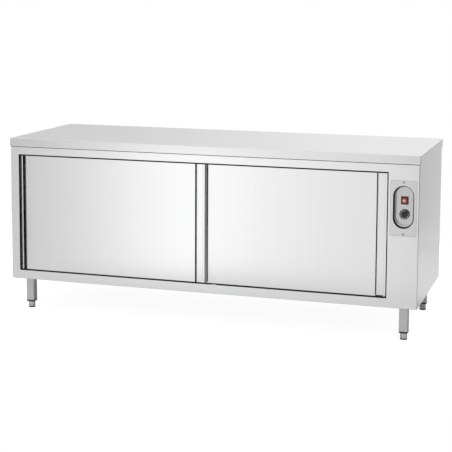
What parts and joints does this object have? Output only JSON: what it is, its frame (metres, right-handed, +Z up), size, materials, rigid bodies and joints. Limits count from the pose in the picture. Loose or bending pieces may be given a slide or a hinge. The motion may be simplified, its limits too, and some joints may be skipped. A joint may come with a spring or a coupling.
{
  "type": "hot cupboard",
  "caption": "Long stainless hot cupboard on square legs, with overlapping sliding doors, a flat worktop and a recessed control well with a lit switch and a thermostat knob.",
  "frame": {"origin": "on the floor under the middle of the worktop", "axes": "+X along the length towards the control column, +Y towards the back, +Z up"},
  "size_m": [2, 0.7, 0.85],
  "materials": {
    "worktop_steel": "fine brushed stainless, grain along the length",
    "panel_steel": "fine brushed stainless",
    "door_steel": "fine brushed stainless, grain upright",
    "plate_steel": "fine brushed stainless, slightly darker",
    "liner_steel": "mill finish stainless",
    "leg_steel": "brushed square tube",
    "foot_steel": "turned stainless with a dark rubber pad",
    "zinc_steel": "zinc coated sheet",
    "screw_steel": "bright turned steel",
    "board": "raw chipboard",
    "mineral_wool": "loose pressed mineral fibre",
    "rubber": "matt black rubber",
    "nylon": "natural nylon",
    "black_plastic": "fine textured black plastic",
    "red_lens": "clear red lens, lit from inside",
    "ivory_plastic": "moulded ivory plastic",
    "heater_tube": "oxidised steel tube",
    "motor_paint": "grey enamel",
    "fan_alloy": "pressed alloy"
  },
  "bodies": {
    "cabinet": {"worktop": "worktop_steel", "worktop_core": "board", "worktop_bearers": "zinc_steel", "insulation": "mineral_wool", "top_track": "zinc_steel", "bottom_guide": "black_plastic", "door_buffers": "rubber", "control_plate": "plate_steel", "control_well": "plate_steel", "well_trim": "rubber", "plate_screws": "screw_steel", "switch_housing": "black_plastic", "thermostat_body": "black_plastic", "safety_cutout": "black_plastic", "terminal_block": "ivory_plastic", "cable_gland": "black_plastic", "heater_box": "zinc_steel", "heater_element": "heater_tube", "fan_motor": "motor_paint", "legs": "leg_steel", "foot_inserts": "black_plastic", "top_panel": "panel_steel", "base_panel": "panel_steel", "left_panel": "panel_steel", "right_panel": "panel_steel", "back_panel": "panel_steel", "left_stile": "panel_steel", "top_rail": "panel_steel", "bottom_rail": "panel_steel", "control_column": "panel_steel", "liner_left": "liner_steel", "air_panel": "liner_steel", "liner_back": "liner_steel", "liner_ceiling": "liner_steel", "liner_floor": "liner_steel", "shelf": "liner_steel", "shelf_supports": "liner_steel"},
    "door_left": {"door_left_skin": "door_steel", "door_left_back": "liner_steel", "door_left_core": "mineral_wool", "door_left_hangers": "zinc_steel", "door_left_glides": "nylon"},
    "door_right": {"door_right_skin": "door_steel", "door_right_back": "liner_steel", "door_right_core": "mineral_wool", "door_right_hangers": "zinc_steel", "door_right_glides": "nylon"},
    "wheel_left_1": {"wheel_left_1": "nylon"},
    "wheel_left_2": {"wheel_left_2": "nylon"},
    "wheel_right_1": {"wheel_right_1": "nylon"},
    "wheel_right_2": {"wheel_right_2": "nylon"},
    "rocker": {"rocker": "red_lens"},
    "knob": {"knob": "black_plastic", "thermostat_shaft": "screw_steel"},
    "fan_wheel": {"fan_wheel": "fan_alloy"},
    "foot_front_left": {"foot_front_left": "foot_steel"},
    "foot_front_right": {"foot_front_right": "foot_steel"},
    "foot_rear_left": {"foot_rear_left": "foot_steel"},
    "foot_rear_right": {"foot_rear_right": "foot_steel"}
  },
  "joints": [
    {"name": "door_left_slide", "type": "slide", "parent": "cabinet", "child": "door_left", "axis": [1, 0, 0], "range_m": [0, 0.849]},
    {"name": "door_right_slide", "type": "slide", "parent": "cabinet", "child": "door_right", "axis": [-1, 0, 0], "range_m": [0, 0.849]},
    {"name": "wheel_left_1_roll", "type": "hinge", "parent": "door_left", "child": "wheel_left_1", "pos_m": [-0.8135, -0.3195, 0.79], "axis": [0, 1, 0], "range_deg": [0, 4080]},
    {"name": "wheel_left_2_roll", "type": "hinge", "parent": "door_left", "child": "wheel_left_2", "pos_m": [-0.1465, -0.3195, 0.79], "axis": [0, 1, 0], "range_deg": [0, 4080]},
    {"name": "wheel_right_1_roll", "type": "hinge", "parent": "door_right", "child": "wheel_right_1", "pos_m": [0.0355, -0.2735, 0.79], "axis": [0, 1, 0], "range_deg": [-4080, 0]},
    {"name": "wheel_right_2_roll", "type": "hinge", "parent": "door_right", "child": "wheel_right_2", "pos_m": [0.7025, -0.2735, 0.79], "axis": [0, 1, 0], "range_deg": [-4080, 0]},
    {"name": "rocker_tilt", "type": "hinge", "parent": "cabinet", "child": "rocker", "pos_m": [0.927, -0.3133, 0.643], "axis": [1, 0, 0], "range_deg": [-16, 0]},
    {"name": "knob_turn", "type": "hinge", "parent": "cabinet", "child": "knob", "pos_m": [0.927, -0.3148, 0.581], "axis": [0, 1, 0], "range_deg": [0, 270]},
    {"name": "fan_spin", "type": "hinge", "parent": "cabinet", "child": "fan_wheel", "pos_m": [0.888, -0.076, 0.326], "axis": [1, 0, 0], "continuous": true},
    {"name": "foot_front_left_adjust", "type": "slide", "parent": "cabinet", "child": "foot_front_left", "axis": [0, 0, -1], "range_m": [0, 0.03]},
    {"name": "foot_front_right_adjust", "type": "slide", "parent": "cabinet", "child": "foot_front_right", "axis": [0, 0, -1], "range_m": [0, 0.03]},
    {"name": "foot_rear_left_adjust", "type": "slide", "parent": "cabinet", "child": "foot_rear_left", "axis": [0, 0, -1], "range_m": [0, 0.03]},
    {"name": "foot_rear_right_adjust", "type": "slide", "parent": "cabinet", "child": "foot_rear_right", "axis": [0, 0, -1], "range_m": [0, 0.03]}
  ],
  "couplings": [
    {"joint": "wheel_left_1_roll", "follows": "door_left_slide", "rad_per_m": 83.333},
    {"joint": "wheel_left_2_roll", "follows": "door_left_slide", "rad_per_m": 83.333},
    {"joint": "wheel_right_1_roll", "follows": "door_right_slide", "rad_per_m": -83.333},
    {"joint": "wheel_right_2_roll", "follows": "door_right_slide", "rad_per_m": -83.333}
  ]
}
